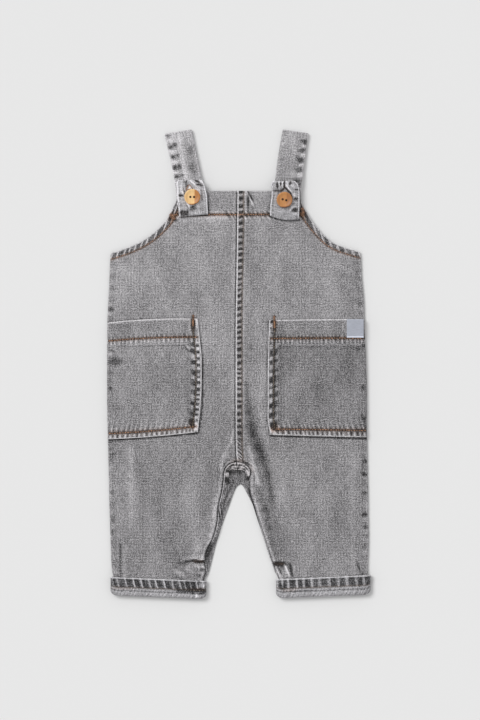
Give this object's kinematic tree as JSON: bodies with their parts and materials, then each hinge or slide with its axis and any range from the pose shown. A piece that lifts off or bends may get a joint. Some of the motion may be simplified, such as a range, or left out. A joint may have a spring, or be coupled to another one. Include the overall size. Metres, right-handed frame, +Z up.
{
  "type": "kids dungarees",
  "caption": "Baby's denim dungarees laid flat: bib front with a lapped centre seam, buttoned shoulder straps with turned-up ends, patch pockets, felled inseam and turned-up leg hems.",
  "frame": {"origin": "centre of the garment's outline, on the surface it lies on", "axes": "+Y to the shoulders, +Z up off the surface out of the garment's front, +X to the right of the laid-out front"},
  "size_m": [0.2636, 0.4686, 0.013],
  "materials": {
    "denim": "washed grey denim, matt",
    "denim_reverse": "wrong side of the denim, paler, matt",
    "button_wood": "turned wood, thin satin lacquer",
    "label_tape": "woven tape, slight sheen",
    "thread": "tan sewing thread"
  },
  "bodies": {
    "root": {"front_left": "denim", "front_right": "denim", "back_left": "denim", "back_right": "denim", "inseam_left": "denim", "inseam_right": "denim", "pocket_left": "denim", "pocket_right": "denim", "strap_left": "denim", "strap_right": "denim", "turnup_left": "denim_reverse", "turnup_right": "denim_reverse", "button_left": "button_wood", "button_right": "button_wood", "label": "label_tape"}
  },
  "joints": []
}
